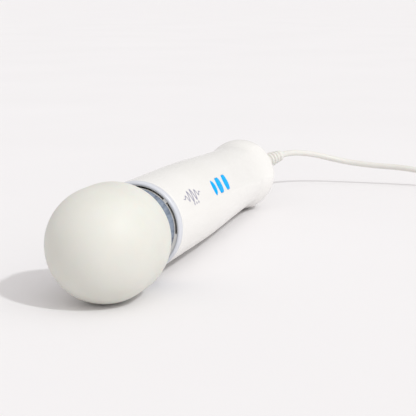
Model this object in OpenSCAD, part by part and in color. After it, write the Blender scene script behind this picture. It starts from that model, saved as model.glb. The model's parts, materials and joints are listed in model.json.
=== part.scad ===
// Handheld wand massager lying on a table: ball head, flexible neck, motor handle and mains lead.
// The wand is drawn straight along +X, head centre at x = 0, buttons towards +Z, and then laid down.

/* [Head] */
// Diameter of the ball head
head_d = 64; // [54:1:76]
// Straight band between the two half balls
head_band = 12; // [8:0.5:14]
// Wall of the silicone head cover
cover_wall = 2.5; // [1.5:0.5:4]
// Wall of the hard core under the cover
core_wall = 2.2; // [1.6:0.2:3]

/* [Neck] */
// From the head's centre to the collar's front face
neck_gap = 48.5; // [46:0.5:60]
// Outside diameter of the flexible neck
neck_d = 45; // [40:1:46]
// Wall of the neck's rubber boot
boot_wall = 2.5; // [1.5:0.5:3.5]

/* [Handle] */
// Diameter of the straight grip
grip_d = 54; // [50:1:66]
// From the head's centre to the end of the straight grip
grip_end = 118; // [112:1:120]
// Diameter of the waist before the tail
waist_d = 47.8; // [44:0.5:52]
// From the head's centre to the waist
waist_x = 255; // [245:1:262]
// Diameter of the tail's bulb
bulb_d = 53.4; // [48:0.5:62]
// From the head's centre to the tail's end face
tail_x = 300; // [290:1:360]
// Wall of the two handle shells
shell_wall = 2.4; // [2:0.2:3]

/* [Collar] */
// Length of the collar ring that shows
collar_len = 4.5; // [3:0.5:8]
// Wall of the collar ring
collar_wall = 1.9; // [1.6:0.1:2.4]
// Number of air slots in the vent ring
vent_count = 4; // [1:1:6]
// Sweep of one air slot, in degrees
vent_sweep = 46; // [20:1:48]
// Sweep of the rib between two air slots, in degrees
vent_rib = 6; // [4:1:12]

/* [Buttons] */
// Width of a button, around the handle
button_w = 10.4; // [8:0.2:12]
// How far a button goes in
button_travel = 0.6; // [0.3:0.1:0.8]
// How far a button stands proud of the shell
button_proud = 0.4; // [0.2:0.1:0.8]
// Gap between a button and its opening
button_gap = 0.3; // [0.2:0.05:0.5]

/* [Motor] */
// Diameter of the motor can
motor_d = 36; // [30:1:38]
// Length of the motor can
motor_len = 42; // [38:1:42]
// Bore of the bearings
bearing_bore = 5; // [4:0.5:6]
// Outside diameter of the bearings
bearing_d = 16; // [13:1:17]
// Width of the bearings
bearing_w = 5; // [4:0.5:5.5]
// Radial clearance between a shaft and its bearing
running_gap = 0.05; // [0.02:0.01:0.09]

/* [Cord] */
// Diameter of the mains lead
cord_d = 5; // [4:0.5:6]
// Diameter of the strain relief at the tail
relief_d = 14.4; // [12:0.2:18]
// Turns of the coil side by side
coil_columns = 5; // [4:1:5]
// Layers of turns in the coil
coil_top_columns = 4; // [2:1:4]
// Diameter at the middle of the coil's turns
coil_mid_d = 60; // [50:1:60]

/* [Lay] */
// Roll of the buttons away from straight up, in degrees
roll = 61.4; // [0:0.1:90]

/* [Hidden] */
$fn = 96;
eps = 0.01;
over = 1;          // how far a cutting shape runs past what it cuts
fit_gap = 0.1;     // clearance between pieces that are assembled and don't move
move_gap = 0.3;    // clearance between pieces that move past each other
stop_gap = 0.2;    // clearance between a button's flange and the shell above it

head_r = head_d / 2;
grip_r = grip_d / 2;
waist_r = waist_d / 2;
bulb_r = bulb_d / 2;
neck_r = neck_d / 2;
motor_r = motor_d / 2;
bearing_r = bearing_d / 2;
shaft_r = bearing_bore / 2 - running_gap;
core_r = head_r - cover_wall - fit_gap;

// Tail: a half ellipse behind the bulb, cut flat where the lead comes out
tail_round = 23;
tail_depth = 21;
bulb_x = tail_x - tail_depth;
tail_wall = 4;
tail_flat_r = bulb_r * sqrt(1 - pow(tail_depth / tail_round, 2));

// Facet: a shallow flat on the button side, which runs into a wide scoop before the bulb
facet_start = grip_end + 12;
facet_slope = 3.07;
facet_len = waist_x - facet_start - 17;
scoop_r = 200;

// Head core
core_rear_x = head_band + 19;
spigot_r = neck_r - boot_wall - fit_gap;
spigot_wall = 1.9;
spigot_len = 10;
core_web = 4;
front_bearing_x = -21;
rear_bearing_x = core_rear_x - core_web - bearing_w - 1;
shaft_hole_r = bearing_bore / 2 + 0.7;
boss_wall = 2.5;
weight_r = 17;
weight_len = 18;
head_screw_circle = 21;
head_screw_boss_r = 2.8;
head_screw_r = 1.2;
head_screw_head_r = 2.2;
head_screw_count = 3;

// Neck
lip_x = head_band + sqrt(pow(head_r, 2) - pow(neck_r + move_gap, 2));
pivot_x = (lip_x + neck_gap) / 2;
coupling_r = 4.5;
coupling_half = 8;
coupling_reach = 4;
socket_x = neck_gap + 1.5;
socket_len = 10;
socket_flange = 2.5;
boot_waist = 0.8;
clamp_wall = 0.6;

// Collar
shell_x = neck_gap + collar_len;
collar_round = 1.6;
spigot_depth = 7;
collar_spigot_wall = 0.9;
shell_in_r = grip_r - shell_wall;
vent_x = neck_gap + 0.5;
vent_len = 3;
vent_outer_r = grip_r - collar_wall - fit_gap;
vent_inner_r = neck_r + 0.4;
slot_outer_r = vent_outer_r - 0.4;
slot_inner_r = vent_inner_r + 0.4;
first_slot = -12;

// Motor
fan_x = socket_x + socket_len + socket_flange + 1.5;
fan_len = 7;
fan_r = 16.5;
fan_blades = 8;
motor_x = fan_x + fan_len + 3;
motor_end_x = motor_x + motor_len;
can_wall = 2.5;
can_front_wall = 6;
can_in_r = motor_r - can_wall;
cap_len = 5;
cap_spigot = 3;
magnet_wall = 1.4;
magnet_gap = 0.4;
armature_r = can_in_r - fit_gap - magnet_wall - magnet_gap;
armature_x = motor_x + can_front_wall + 4;
armature_len = motor_len - can_front_wall - 12;
commutator_x = armature_x + armature_len + 0.3;
commutator_len = motor_end_x - cap_spigot - commutator_x - 1;
commutator_r = 6;
mount_len = 8;

// Screws that hold the shells together: place along the wand, and to each side
shell_screw_at = [[190, 15], [waist_x, 14]];
shell_boss_r = 3.4;
shell_screw_r = 1.4;
shell_screw_head_r = 2.7;
shell_screw_head = 1.8;
shell_screw_seat = -12;
shell_screw_top = 8;

// Circuit board
board_x = facet_start - 8;
board_len = 50;
board_w = 28;
board_t = 1.6;
board_z = 16.6;
board_top = board_z + board_t;
post_r = 1.9;
post_inset = 2.6;

// Buttons: middle, length, and how far the front and back edges bow out
button_at = [[facet_start - 1.9, 6.4, 2.8, 3.6], [facet_start + 11.1, 10.2, 1.5, 2.6],
             [facet_start + 28.3, 9.4, 0.9, 2.4]];
flange_margin = 1.2;
flange_t = 0.9;
stem_r = 1.8;
stem_z = 21.4;
switch_side = 6;
switch_h = 1.8;

// Lead inside the handle
inner_cord_x = waist_x - 14;
clamp_x = waist_x + 12;
clamp_len = 8;
clamp_half_w = 9;
wire_r = 0.8;
relief_flange_r = 8;
relief_flange = 3;
relief_neck_r = 5.5;

// Attitude on the table: head and bulb both touch it
tilt = asin((head_r - bulb_r) / bulb_x);
mid_x = (tail_x * cos(tilt) + tail_flat_r * sin(tilt) - head_r) / 2;
exit_x = tail_x * cos(tilt) - mid_x;
exit_z = head_r - tail_x * sin(tilt);

// Lead route: [past the tail's end face, sideways, above the table]
cord_r = cord_d / 2;
cord_sides = 12;
relief_sides = 16;
route_steps = 3;
relief_tip_r = cord_r + 0.7;
relief_stem = [for (back = [tail_wall + relief_flange, tail_wall, tail_wall, 0])
    [-back * cos(tilt), 0, exit_z + back * sin(tilt)]];
relief_stem_radii = [relief_flange_r, relief_flange_r, relief_neck_r, relief_neck_r];
relief_route = [[0, 0, exit_z], [15, 0, exit_z], [30, -3, 27], [45, -8, 29], [60, -14, 31]];
lead_route = [[75, -20, 31], [90, -27, 29], [102, -37, 26], [110, -50, 22], [114, -65, 19],
              [116, -85, 17], [117, -105, 16], [118, -122, 14], [118, -140, 10], [118, -157, 5],
              [118, -170, cord_r], [118, -182, cord_r]];
coil_hole_r = (coil_mid_d - coil_columns * cord_d) / 2;
coil_centre = [118 - coil_hole_r - (coil_columns - 0.5) * cord_d, -182];
coil_top_z = 1.5 * cord_d;
coil_exit_y = coil_centre[1] - coil_hole_r - (coil_top_columns - 0.5) * cord_d;
plug_z = 8;
end_route = [[coil_centre[0], coil_exit_y, coil_top_z], [64, coil_exit_y - 1, 8],
             [48, coil_exit_y - 2, plug_z], [34, coil_exit_y - 2, plug_z]];

// Plug
plug_x = 34;
plug_len = 32;
plug_neck_len = 10;
plug_w = 24;
plug_h = 16;
blade_len = 16.5;
blade_w = 6.3;
blade_t = 1.5;
blade_spacing = 12.7;

white = [0.95, 0.95, 0.93];
blue = [0.05, 0.62, 0.98];

// ---- Shapes and functions --------------------------------------------------------------------

function ease(u) = (1 - cos(180 * u)) / 2;
function mix(a, b, u) = a + (b - a) * u;
function unit(v) = v / norm(v);

// Outside radius of the handle at x, up to the bulb
function handle_r(x) =
    x <= grip_end ? grip_r :
    x <= waist_x ? mix(grip_r, waist_r, ease((x - grip_end) / (waist_x - grip_end))) :
    x <= bulb_x ? mix(waist_r, bulb_r, ease((x - waist_x) / (bulb_x - waist_x))) : bulb_r;

// Height of the facet above the wand's axis at x
function facet_z(x) = grip_r - (x - facet_start) * tan(facet_slope);

// Height of the shell's inside above the wand's axis, y to the side of the buttons' middle
function inside_z(x, y) =
    min(sqrt(pow(handle_r(x) - shell_wall, 2) - y * y), facet_z(x) - shell_wall / cos(facet_slope));

// Smooth curve through points, with a number of steps between each two
function spline_point(a, b, c, d, t) =
    0.5 * (2 * b + (c - a) * t + (2 * a - 5 * b + 4 * c - d) * t * t
           + (3 * b - 3 * c + d - a) * t * t * t);
function spline(points, steps) =
    let (last = len(points) - 1)
    concat(
        [for (i = [0 : last - 1]) for (k = [0 : steps - 1])
            spline_point(i == 0 ? 2 * points[0] - points[1] : points[i - 1], points[i],
                         points[i + 1],
                         i == last - 1 ? 2 * points[last] - points[i] : points[i + 2],
                         k / steps)],
        [points[last]]);

// Points of a lead, moved to the tail's end and kept on the table
function laid(points) = [for (p = points) [exit_x + p[0], p[1], max(p[2], cord_r)]];

function ring(p, ahead, r, sides) =
    let (side = unit(cross([0, 0, 1], ahead)), up = cross(ahead, side))
    [for (k = [0 : sides - 1]) p + r * (cos(360 * k / sides) * side + sin(360 * k / sides) * up)];

// Round tube along path points, from first to last, with its radius at each of them
module swept(path, first, last, radii, sides) {
    rings = last - first + 1;
    points = [for (i = [first : last])
        let (ahead = unit(path[min(i + 1, len(path) - 1)] - path[max(i - 1, 0)]))
        each ring(path[i], ahead, radii[i - first], sides)];
    walls = [for (i = [0 : rings - 2]) for (k = [0 : sides - 1])
        let (a = i * sides + k, b = i * sides + (k + 1) % sides)
        each [[a, b, b + sides], [a, b + sides, a + sides]]];
    end = (rings - 1) * sides;
    ends = [for (k = [1 : sides - 2]) each [[0, k + 1, k], [end, end + k, end + k + 1]]];
    polyhedron(points = points, faces = concat(walls, ends), convexity = 4);
}

module placed() {
    translate([-mid_x, 0, head_r])
        rotate([0, tilt, 0])
            rotate([roll, 0, 0])
                children();
}

module along() {
    rotate([0, 90, 0]) children();
}

module rod(x0, x1, r) {
    along() translate([0, 0, x0]) cylinder(r = r, h = x1 - x0);
}

module tube(x0, x1, r_out, r_in) {
    difference() {
        rod(x0, x1, r_out);
        rod(x0 - over, x1 + over, r_in);
    }
}

// Solid of revolution about the wand's axis, from points [radius, x]
module turned(points) {
    along() rotate_extrude() polygon(points);
}

// Part of a ring, from an angle around the axis that starts at the buttons
module ring_sector(x0, x1, r_out, r_in, from, sweep) {
    rotate([from - 180, 0, 0])
        along()
            rotate_extrude(angle = sweep)
                translate([r_in, x0]) square([r_out - r_in, x1 - x0]);
}

// Two half balls with a straight band between them
module ball(r) {
    sphere(r = r);
    rod(0, head_band, r);
    translate([head_band, 0, 0]) sphere(r = r);
}

module bearing(x) {
    tube(x, x + bearing_w, bearing_r, bearing_bore / 2);
}

function profile(inset, end_x) = concat(
    [[0, shell_x - (inset > 0 ? over : 0)], [grip_r - inset, shell_x - (inset > 0 ? over : 0)]],
    [for (i = [0 : 12])
        let (x = mix(grip_end, waist_x, i / 12)) [handle_r(x) - inset, x]],
    [for (i = [1 : 6])
        let (x = mix(waist_x, bulb_x, i / 6)) [handle_r(x) - inset, x]],
    [for (i = [1 : 8])
        let (a = asin((end_x - bulb_x) / tail_round) * i / 8)
        [bulb_r * cos(a) - inset, bulb_x + tail_round * sin(a)]],
    [[0, end_x]]);

// Everything above the facet and the scoop, lowered by an inset
module above_facet(inset) {
    reach = 2 * grip_r;
    translate([facet_start, 0, grip_r])
        rotate([0, facet_slope, 0]) {
            translate([-reach, -reach, -inset]) cube([reach + facet_len, 2 * reach, reach]);
            translate([facet_len, 0, scoop_r])
                rotate([90, 0, 0])
                    cylinder(r = scoop_r + inset, h = 2 * reach, center = true, $fn = 360);
        }
}

// The handle's outer form, drawn in by an inset
module handle_form(inset, end_x) {
    difference() {
        turned(profile(inset, end_x));
        above_facet(inset);
    }
}

module half_space(side) {
    translate([0, -2 * grip_r, side > 0 ? 0 : -4 * grip_r])
        cube([tail_x + over, 4 * grip_r, 4 * grip_r]);
}

// Outline of a button: a strip between two arcs that bow out at its front and back
module button_outline(at, margin) {
    half = button_w / 2 + margin;
    length = at[1] + 2 * margin;
    front_r = (half * half + at[2] * at[2]) / (2 * at[2]);
    back_r = (half * half + at[3] * at[3]) / (2 * at[3]);
    translate([at[0], 0])
        intersection() {
            translate([-length / 2 + front_r, 0]) circle(r = front_r, $fn = 180);
            translate([length / 2 - back_r, 0]) circle(r = back_r, $fn = 180);
            square([length, 2 * half], center = true);
        }
}

module at_shell_screws() {
    for (at = shell_screw_at, side = [-1, 1])
        translate([at[0], side * at[1], 0]) children();
}

module at_head_screws() {
    for (i = [0 : head_screw_count - 1])
        rotate([i * 360 / head_screw_count, 0, 0]) translate([0, 0, head_screw_circle]) children();
}

// ---- Head ------------------------------------------------------------------------------------

module head_cover() {
    color([0.94, 0.94, 0.91]) placed()
        difference() {
            ball(head_r);
            ball(head_r - cover_wall);
            rod(head_band, head_r + head_band + over, neck_r + move_gap);
        }
}

// Half section of the ball, [radius, x]
module ball_section(r) {
    intersection() {
        union() {
            circle(r = r);
            square([r, head_band]);
            translate([0, head_band]) circle(r = r);
        }
        translate([0, -head_r]) square([head_r, 3 * head_r]);
    }
}

module section_box(x0, x1, r) {
    translate([0, x0]) square([r, x1 - x0]);
}

module head_core_front() {
    boss_r = bearing_r + boss_wall;
    color(white) placed()
        difference() {
            union() {
                along() rotate_extrude()
                    difference() {
                        intersection() {
                            ball_section(core_r);
                            section_box(-head_r, 0, head_r);
                        }
                        difference() {
                            ball_section(core_r - core_wall);
                            section_box(-head_r, front_bearing_x + bearing_w, boss_r);
                        }
                        section_box(front_bearing_x, head_r, bearing_r + fit_gap);
                        section_box(front_bearing_x - 2, head_r, shaft_hole_r);
                    }
                intersection() {
                    ball(core_r - core_wall / 2);
                    at_head_screws() rod(-14, 0, head_screw_boss_r);
                }
            }
            at_head_screws() rod(-11, over, head_screw_r);
        }
}

module head_core_rear() {
    web_x = core_rear_x - core_web;
    color(white) placed()
        difference() {
            union() {
                along() rotate_extrude()
                    difference() {
                        union() {
                            intersection() {
                                ball_section(core_r);
                                section_box(0, core_rear_x, head_r);
                            }
                            section_box(web_x, core_rear_x + spigot_len, spigot_r);
                        }
                        difference() {
                            intersection() {
                                ball_section(core_r - core_wall);
                                section_box(-over, web_x, head_r);
                            }
                            section_box(rear_bearing_x, web_x, bearing_r + boss_wall);
                        }
                        section_box(core_rear_x, core_rear_x + spigot_len + over, spigot_r - spigot_wall);
                        section_box(0, rear_bearing_x + bearing_w, bearing_r + fit_gap);
                        section_box(0, core_rear_x + over, shaft_hole_r);
                    }
                intersection() {
                    ball(core_r - core_wall / 2);
                    at_head_screws() rod(0, web_x + over, head_screw_boss_r);
                }
            }
            at_head_screws() {
                rod(-over, core_rear_x + over, head_screw_r + fit_gap);
                rod(web_x - over, head_r, head_screw_head_r + fit_gap);
            }
        }
}

module head_bearing_front() {
    color("silver") placed() bearing(front_bearing_x);
}

module head_bearing_rear() {
    color("silver") placed() bearing(rear_bearing_x);
}

module head_screws() {
    seat_x = core_rear_x - core_web - over;
    color("dimgray") placed()
        at_head_screws() {
            rod(-10, seat_x, head_screw_r - fit_gap);
            rod(seat_x, seat_x + 1.6, head_screw_head_r);
        }
}

module eccentric_shaft() {
    color("lightsteelblue") placed()
        rod(front_bearing_x - over, pivot_x - coupling_reach, shaft_r);
}

module eccentric_weight() {
    color("darkgoldenrod") placed()
        difference() {
            union() {
                intersection() {
                    rod(-weight_len / 2, weight_len / 2, weight_r);
                    translate([-weight_len, -weight_r, -2 * weight_r])
                        cube([2 * weight_len, 2 * weight_r, 2 * weight_r]);
                }
                rod(-weight_len / 2, weight_len / 2, shaft_r + 3);
            }
            rod(-weight_len, weight_len, shaft_r);
        }
}

// ---- Neck ------------------------------------------------------------------------------------

module neck_boot() {
    boot_x = core_rear_x + fit_gap;
    boot_end = socket_x + socket_len - fit_gap;
    color([0.53, 0.6, 0.69]) placed()
        turned(concat(
            [[neck_r - boot_wall, boot_x], [neck_r, boot_x]],
            [for (i = [-6 : 6])
                [neck_r - boot_waist * (1 + cos(30 * i)) / 2, mix(pivot_x, neck_gap, i / 6)]],
            [[neck_r, boot_end], [neck_r - boot_wall, boot_end]]));
}

module neck_socket() {
    flange_x = socket_x + socket_len;
    color("gainsboro") placed()
        difference() {
            union() {
                rod(socket_x, flange_x + eps, spigot_r);
                rod(flange_x, flange_x + socket_flange, shell_in_r - fit_gap);
            }
            rod(socket_x - over, flange_x + socket_flange + over, spigot_r - spigot_wall);
            for (i = [0 : 7])
                rotate([22.5 + 45 * i, 0, 0])
                    translate([flange_x - over, -3, neck_r])
                        cube([socket_flange + 2 * over, 6, grip_r]);
        }
}

module neck_clamp_ring() {
    color("silver") placed()
        tube(shell_x + 1, shell_x + 4, neck_r + fit_gap + clamp_wall, neck_r + fit_gap);
}

module drive_coupling() {
    color("darkgray") placed()
        tube(pivot_x - coupling_half, pivot_x + coupling_half, coupling_r, shaft_r + running_gap);
}

// ---- Handle shells and collar ----------------------------------------------------------------

module collar_ring() {
    r_in = grip_r - collar_wall;
    tongue_r = shell_in_r + collar_spigot_wall;
    color([0.86, 0.87, 0.93]) placed()
        turned(concat(
            [[r_in, vent_x + vent_len + fit_gap], [r_in, neck_gap + 0.4], [r_in + 0.3, neck_gap]],
            [for (i = [0 : 6])
                [grip_r - collar_round + collar_round * sin(15 * i),
                 neck_gap + collar_round - collar_round * cos(15 * i)]],
            [[grip_r, shell_x], [tongue_r, shell_x], [tongue_r, shell_x + spigot_depth],
             [shell_in_r, shell_x + spigot_depth], [shell_in_r, vent_x + vent_len + fit_gap]]));
}

module vent_ring() {
    color(white) placed()
        difference() {
            tube(vent_x, vent_x + vent_len, vent_outer_r, vent_inner_r);
            for (i = [0 : vent_count - 1])
                ring_sector(vent_x - over, vent_x + vent_len + over, slot_outer_r, slot_inner_r,
                            first_slot - i * (vent_sweep + vent_rib), vent_sweep);
        }
}

// The hollow skin of one half, with the collar's seat and the opening for the strain relief
module shell_skin(side) {
    difference() {
        intersection() {
            handle_form(0, tail_x);
            half_space(side);
        }
        handle_form(shell_wall, tail_x - tail_wall);
        rod(shell_x - over, shell_x + spigot_depth + fit_gap, shell_in_r + collar_spigot_wall + fit_gap);
        rod(bulb_x, tail_x + over, relief_neck_r + fit_gap);
    }
}

module handle_shell_front() {
    color(white) placed()
        difference() {
            union() {
                shell_skin(1);
                intersection() {
                    handle_form(shell_wall / 2, tail_x - tail_wall);
                    union() {
                        at_shell_screws() cylinder(r = shell_boss_r, h = grip_r);
                        for (x = [post_inset, board_len - post_inset], side = [-1, 1])
                            translate([board_x + x, side * (board_w / 2 - post_inset), board_top])
                                cylinder(r = post_r, h = grip_r);
                    }
                }
            }
            for (at = button_at)
                translate([0, 0, board_top]) linear_extrude(grip_r) button_outline(at, button_gap);
            at_shell_screws()
                translate([0, 0, -over])
                    cylinder(r = shell_screw_r + fit_gap, h = shell_screw_top + 2 * over);
        }
}

module handle_shell_back() {
    color(white) placed()
        difference() {
            union() {
                shell_skin(-1);
                intersection() {
                    handle_form(shell_wall / 2, tail_x - tail_wall);
                    union() {
                        at_shell_screws() translate([0, 0, -grip_r]) cylinder(r = shell_boss_r, h = grip_r);
                        for (side = [-1, 1])
                            translate([clamp_x + clamp_len / 2, side * (clamp_half_w - 2.5), -grip_r])
                                cylinder(r = 2.5, h = grip_r - cord_r);
                    }
                }
            }
            at_shell_screws() {
                translate([0, 0, -grip_r]) cylinder(r = shell_screw_r + fit_gap, h = grip_r + over);
                translate([0, 0, shell_screw_seat - grip_r])
                    cylinder(r = shell_screw_head_r + fit_gap, h = grip_r);
            }
        }
}

module shell_screws() {
    color("dimgray") placed()
        at_shell_screws() {
            translate([0, 0, shell_screw_seat]) cylinder(r = shell_screw_r, h = shell_screw_top - shell_screw_seat);
            translate([0, 0, shell_screw_seat - shell_screw_head])
                difference() {
                    cylinder(r = shell_screw_head_r, h = shell_screw_head);
                    translate([-2, -0.4, -over]) cube([4, 0.8, over + 0.8]);
                    translate([-0.4, -2, -over]) cube([0.8, 4, over + 0.8]);
                }
        }
}

// ---- Motor -----------------------------------------------------------------------------------

module motor_can() {
    color("slategray") placed()
        difference() {
            rod(motor_x, motor_end_x, motor_r);
            rod(motor_x + can_front_wall, motor_end_x + over, can_in_r);
            rod(motor_x + can_front_wall - bearing_w, motor_end_x, bearing_r + fit_gap);
            rod(motor_x - over, motor_end_x, shaft_hole_r);
        }
}

module motor_magnets() {
    color("dimgray") placed()
        for (from = [-70, 110])
            ring_sector(armature_x, armature_x + armature_len, can_in_r - fit_gap,
                        can_in_r - fit_gap - magnet_wall, from, 140);
}

module motor_end_cap() {
    color("black") placed()
        difference() {
            union() {
                rod(motor_end_x, motor_end_x + cap_len, motor_r);
                rod(motor_end_x - cap_spigot, motor_end_x + eps, can_in_r - fit_gap);
            }
            rod(motor_end_x - cap_spigot - over, motor_end_x - cap_spigot + bearing_w,
                bearing_r + fit_gap);
            rod(motor_end_x - cap_spigot, motor_end_x + cap_len - 1, shaft_hole_r);
        }
}

module motor_bearing_front() {
    color("silver") placed() bearing(motor_x + can_front_wall - bearing_w);
}

module motor_bearing_rear() {
    color("silver") placed() bearing(motor_end_x - cap_spigot);
}

module motor_brushes() {
    color("gray") placed()
        for (side = [0, 180])
            rotate([side + 90, 0, 0])
                translate([commutator_x + 0.5, -2, commutator_r + move_gap])
                    cube([commutator_len - 1, 4, can_in_r - commutator_r - 2 * move_gap - 1]);
}

module motor_shaft() {
    color("lightsteelblue") placed()
        rod(pivot_x + coupling_reach, motor_end_x + cap_len - 2, shaft_r);
}

module armature() {
    color("peru") placed()
        difference() {
            rod(armature_x, armature_x + armature_len, armature_r);
            rod(armature_x - over, armature_x + armature_len + over, shaft_r);
            for (i = [0 : 9])
                rotate([36 * i, 0, 0])
                    translate([armature_x - over, -0.8, armature_r - 4])
                        cube([armature_len + 2 * over, 1.6, 6]);
        }
}

module commutator() {
    color("peru") placed()
        tube(commutator_x, commutator_x + commutator_len, commutator_r, shaft_r);
}

module cooling_fan() {
    color("whitesmoke") placed()
        difference() {
            union() {
                rod(fan_x, fan_x + fan_len, shaft_r + 3);
                rod(fan_x + fan_len - 1, fan_x + fan_len, fan_r);
                intersection() {
                    rod(fan_x, fan_x + fan_len, fan_r);
                    for (i = [0 : fan_blades - 1])
                        rotate([360 * i / fan_blades, 0, 0])
                            translate([fan_x, -0.6, 0]) cube([fan_len, 1.2, fan_r]);
                }
            }
            rod(fan_x - over, fan_x + fan_len + over, shaft_r);
        }
}

// Rubber ring with four lugs that hold the motor off the shells
module motor_mount(x) {
    difference() {
        tube(x, x + mount_len, shell_in_r - fit_gap, motor_r + fit_gap);
        for (i = [0 : 3])
            ring_sector(x - over, x + mount_len + over, grip_r, motor_r + 2.5, 90 * i + 20, 50);
    }
}

module motor_mount_front() {
    color("dimgray") placed() motor_mount(motor_x + 2);
}

module motor_mount_rear() {
    color("dimgray") placed() motor_mount(motor_end_x - mount_len - 3);
}

// ---- Controls --------------------------------------------------------------------------------

module circuit_board() {
    color("darkgreen") placed()
        translate([board_x, -board_w / 2, board_z]) cube([board_len, board_w, board_t]);
}

module board_components() {
    color("darkorange") placed() {
        translate([board_x + 14, -6, board_z - 7]) cylinder(r = 4, h = 7);
        translate([board_x + 24, 5, board_z - 9]) cylinder(r = 5, h = 9);
        translate([board_x + 33, -9, board_z - 2.5]) cube([9, 7, 2.5]);
        translate([board_x + 4, -4, board_z - 5]) cube([6, 8, 5]);
        translate([board_x + board_len - 5, -4, board_z - 5]) cube([4, 8, 5]);
    }
}

module tact_switches() {
    color("black") placed()
        for (at = button_at)
            translate([at[0], 0, board_top]) {
                translate([-switch_side / 2, -switch_side / 2, 0])
                    cube([switch_side, switch_side, switch_h]);
                cylinder(r = 1.6, h = stem_z - button_travel - fit_gap - board_top);
            }
}

// Cap that fills its opening, flange under the shell, and stem that meets the switch
module button(at) {
    edge = button_w / 2 + flange_margin;
    back = at[0] + at[1] / 2 + flange_margin;
    flange_top = inside_z(back, edge) - stop_gap;
    color(blue) placed() {
        intersection() {
            translate([0, 0, flange_top - eps]) linear_extrude(grip_r) button_outline(at, 0);
            handle_form(-button_proud, tail_x);
        }
        translate([0, 0, flange_top - flange_t]) linear_extrude(flange_t) button_outline(at, flange_margin);
        translate([at[0], 0, stem_z]) cylinder(r = stem_r, h = flange_top - stem_z);
    }
}

module button_faster() {
    button(button_at[0]);
}

module button_power() {
    button(button_at[1]);
}

module button_slower() {
    button(button_at[2]);
}

// ---- Mains lead ------------------------------------------------------------------------------

module lead_wires() {
    board_end = board_x + board_len;
    color("saddlebrown") placed()
        for (side = [-1, 1]) {
            path = spline([[board_end + 0.2, 3 * side, board_z + board_t / 2],
                           [board_end + 12, 4 * side, board_z - 2], [board_end + 40, 4 * side, 5],
                           [inner_cord_x - 12, 2 * side, 0.5], [inner_cord_x, 1.2 * side, 0]], 3);
            swept(path, 0, len(path) - 1, [for (p = path) wire_r], 8);
        }
}

module inner_cord() {
    color(white) placed() rod(inner_cord_x + 0.2, tail_x - tail_wall - relief_flange, cord_r);
}

module cord_clamp() {
    color("gainsboro") placed()
        difference() {
            translate([clamp_x, -clamp_half_w, -cord_r])
                cube([clamp_len, 2 * clamp_half_w, 2 * cord_r + 2.5]);
            rod(clamp_x - over, clamp_x + clamp_len + over, cord_r + eps);
            for (side = [-1, 1])
                translate([clamp_x + clamp_len / 2, side * (clamp_half_w - 2.5), -grip_r])
                    cylinder(r = 1.2 + fit_gap, h = 2 * grip_r);
        }
}

module clamp_screws() {
    color("dimgray") placed()
        for (side = [-1, 1])
            translate([clamp_x + clamp_len / 2, side * (clamp_half_w - 2.5), cord_r + 2.5]) {
                cylinder(r = 2.2, h = 1.5);
                translate([0, 0, -2 * cord_r - 2.5]) cylinder(r = 1.2, h = 2 * cord_r + 2.5);
            }
}

function lead_path() = laid(concat(relief_stem, spline(concat(relief_route, lead_route), route_steps)));
relief_last = len(relief_stem) + (len(relief_route) - 1) * route_steps;

// A flange inside the tail, a neck through its wall, and a taper down to the lead
module strain_relief() {
    taper = [for (i = [0 : relief_last - len(relief_stem)])
        mix(relief_tip_r, relief_d / 2, sqrt(1 - pow(i / (relief_last - len(relief_stem)), 2)))];
    color(white)
        swept(lead_path(), 0, relief_last, concat(relief_stem_radii, taper), relief_sides);
}

module power_cord() {
    path = lead_path();
    color(white) swept(path, relief_last, len(path) - 1, [for (p = path) cord_r], cord_sides);
}

module cord_coil() {
    color(white)
        translate([exit_x + coil_centre[0], coil_centre[1], 0])
            rotate_extrude()
                translate([coil_hole_r, 0]) {
                    square([coil_columns * cord_d, cord_d]);
                    square([coil_top_columns * cord_d, 2 * cord_d]);
                }
}

module cord_end() {
    path = laid(spline(end_route, 3));
    color(white) swept(path, 0, len(path) - 1, [for (p = path) cord_r], cord_sides);
}

module plug_body() {
    color(white)
        translate([exit_x + plug_x, coil_exit_y - 2, plug_z])
            rotate([0, -90, 0]) {
                cylinder(r1 = cord_r + 0.8, r2 = 6, h = plug_neck_len);
                translate([0, 0, plug_neck_len - eps])
                    linear_extrude(plug_len - plug_neck_len)
                        intersection() {
                            square([plug_h, plug_w], center = true);
                            circle(r = plug_w / 2 + 1);
                        }
            }
}

module plug_blades() {
    front_x = exit_x + plug_x - plug_len;
    color("lightgray")
        for (side = [-1, 1])
            translate([front_x - blade_len, coil_exit_y - 2 + side * blade_spacing / 2 - blade_t / 2,
                       plug_z - blade_w / 2])
                difference() {
                    cube([blade_len + eps, blade_t, blade_w]);
                    translate([3, -over, blade_w / 2])
                        rotate([-90, 0, 0]) cylinder(r = 1.5, h = blade_t + 2 * over);
                }
}

head_cover();
head_core_front();
head_core_rear();
head_bearing_front();
head_bearing_rear();
head_screws();
eccentric_shaft();
eccentric_weight();
neck_boot();
neck_socket();
neck_clamp_ring();
drive_coupling();
collar_ring();
vent_ring();
handle_shell_front();
handle_shell_back();
shell_screws();
motor_can();
motor_magnets();
motor_end_cap();
motor_bearing_front();
motor_bearing_rear();
motor_brushes();
motor_shaft();
armature();
commutator();
cooling_fan();
motor_mount_front();
motor_mount_rear();
circuit_board();
board_components();
tact_switches();
button_faster();
button_power();
button_slower();
lead_wires();
inner_cord();
cord_clamp();
clamp_screws();
strain_relief();
power_cord();
cord_coil();
cord_end();
plug_body();
plug_blades();
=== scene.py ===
"""Corded wand massager: visible pieces, materials, light and camera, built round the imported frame.

Sizes are in millimetres. Along the wand, x runs from the middle of the ball head towards the tail and
angles are measured about the axis from the buttons. WAND takes those places into the frame, in metres.
"""
import json
import math

import bmesh
import bpy
from mathutils import Matrix, Vector


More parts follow.
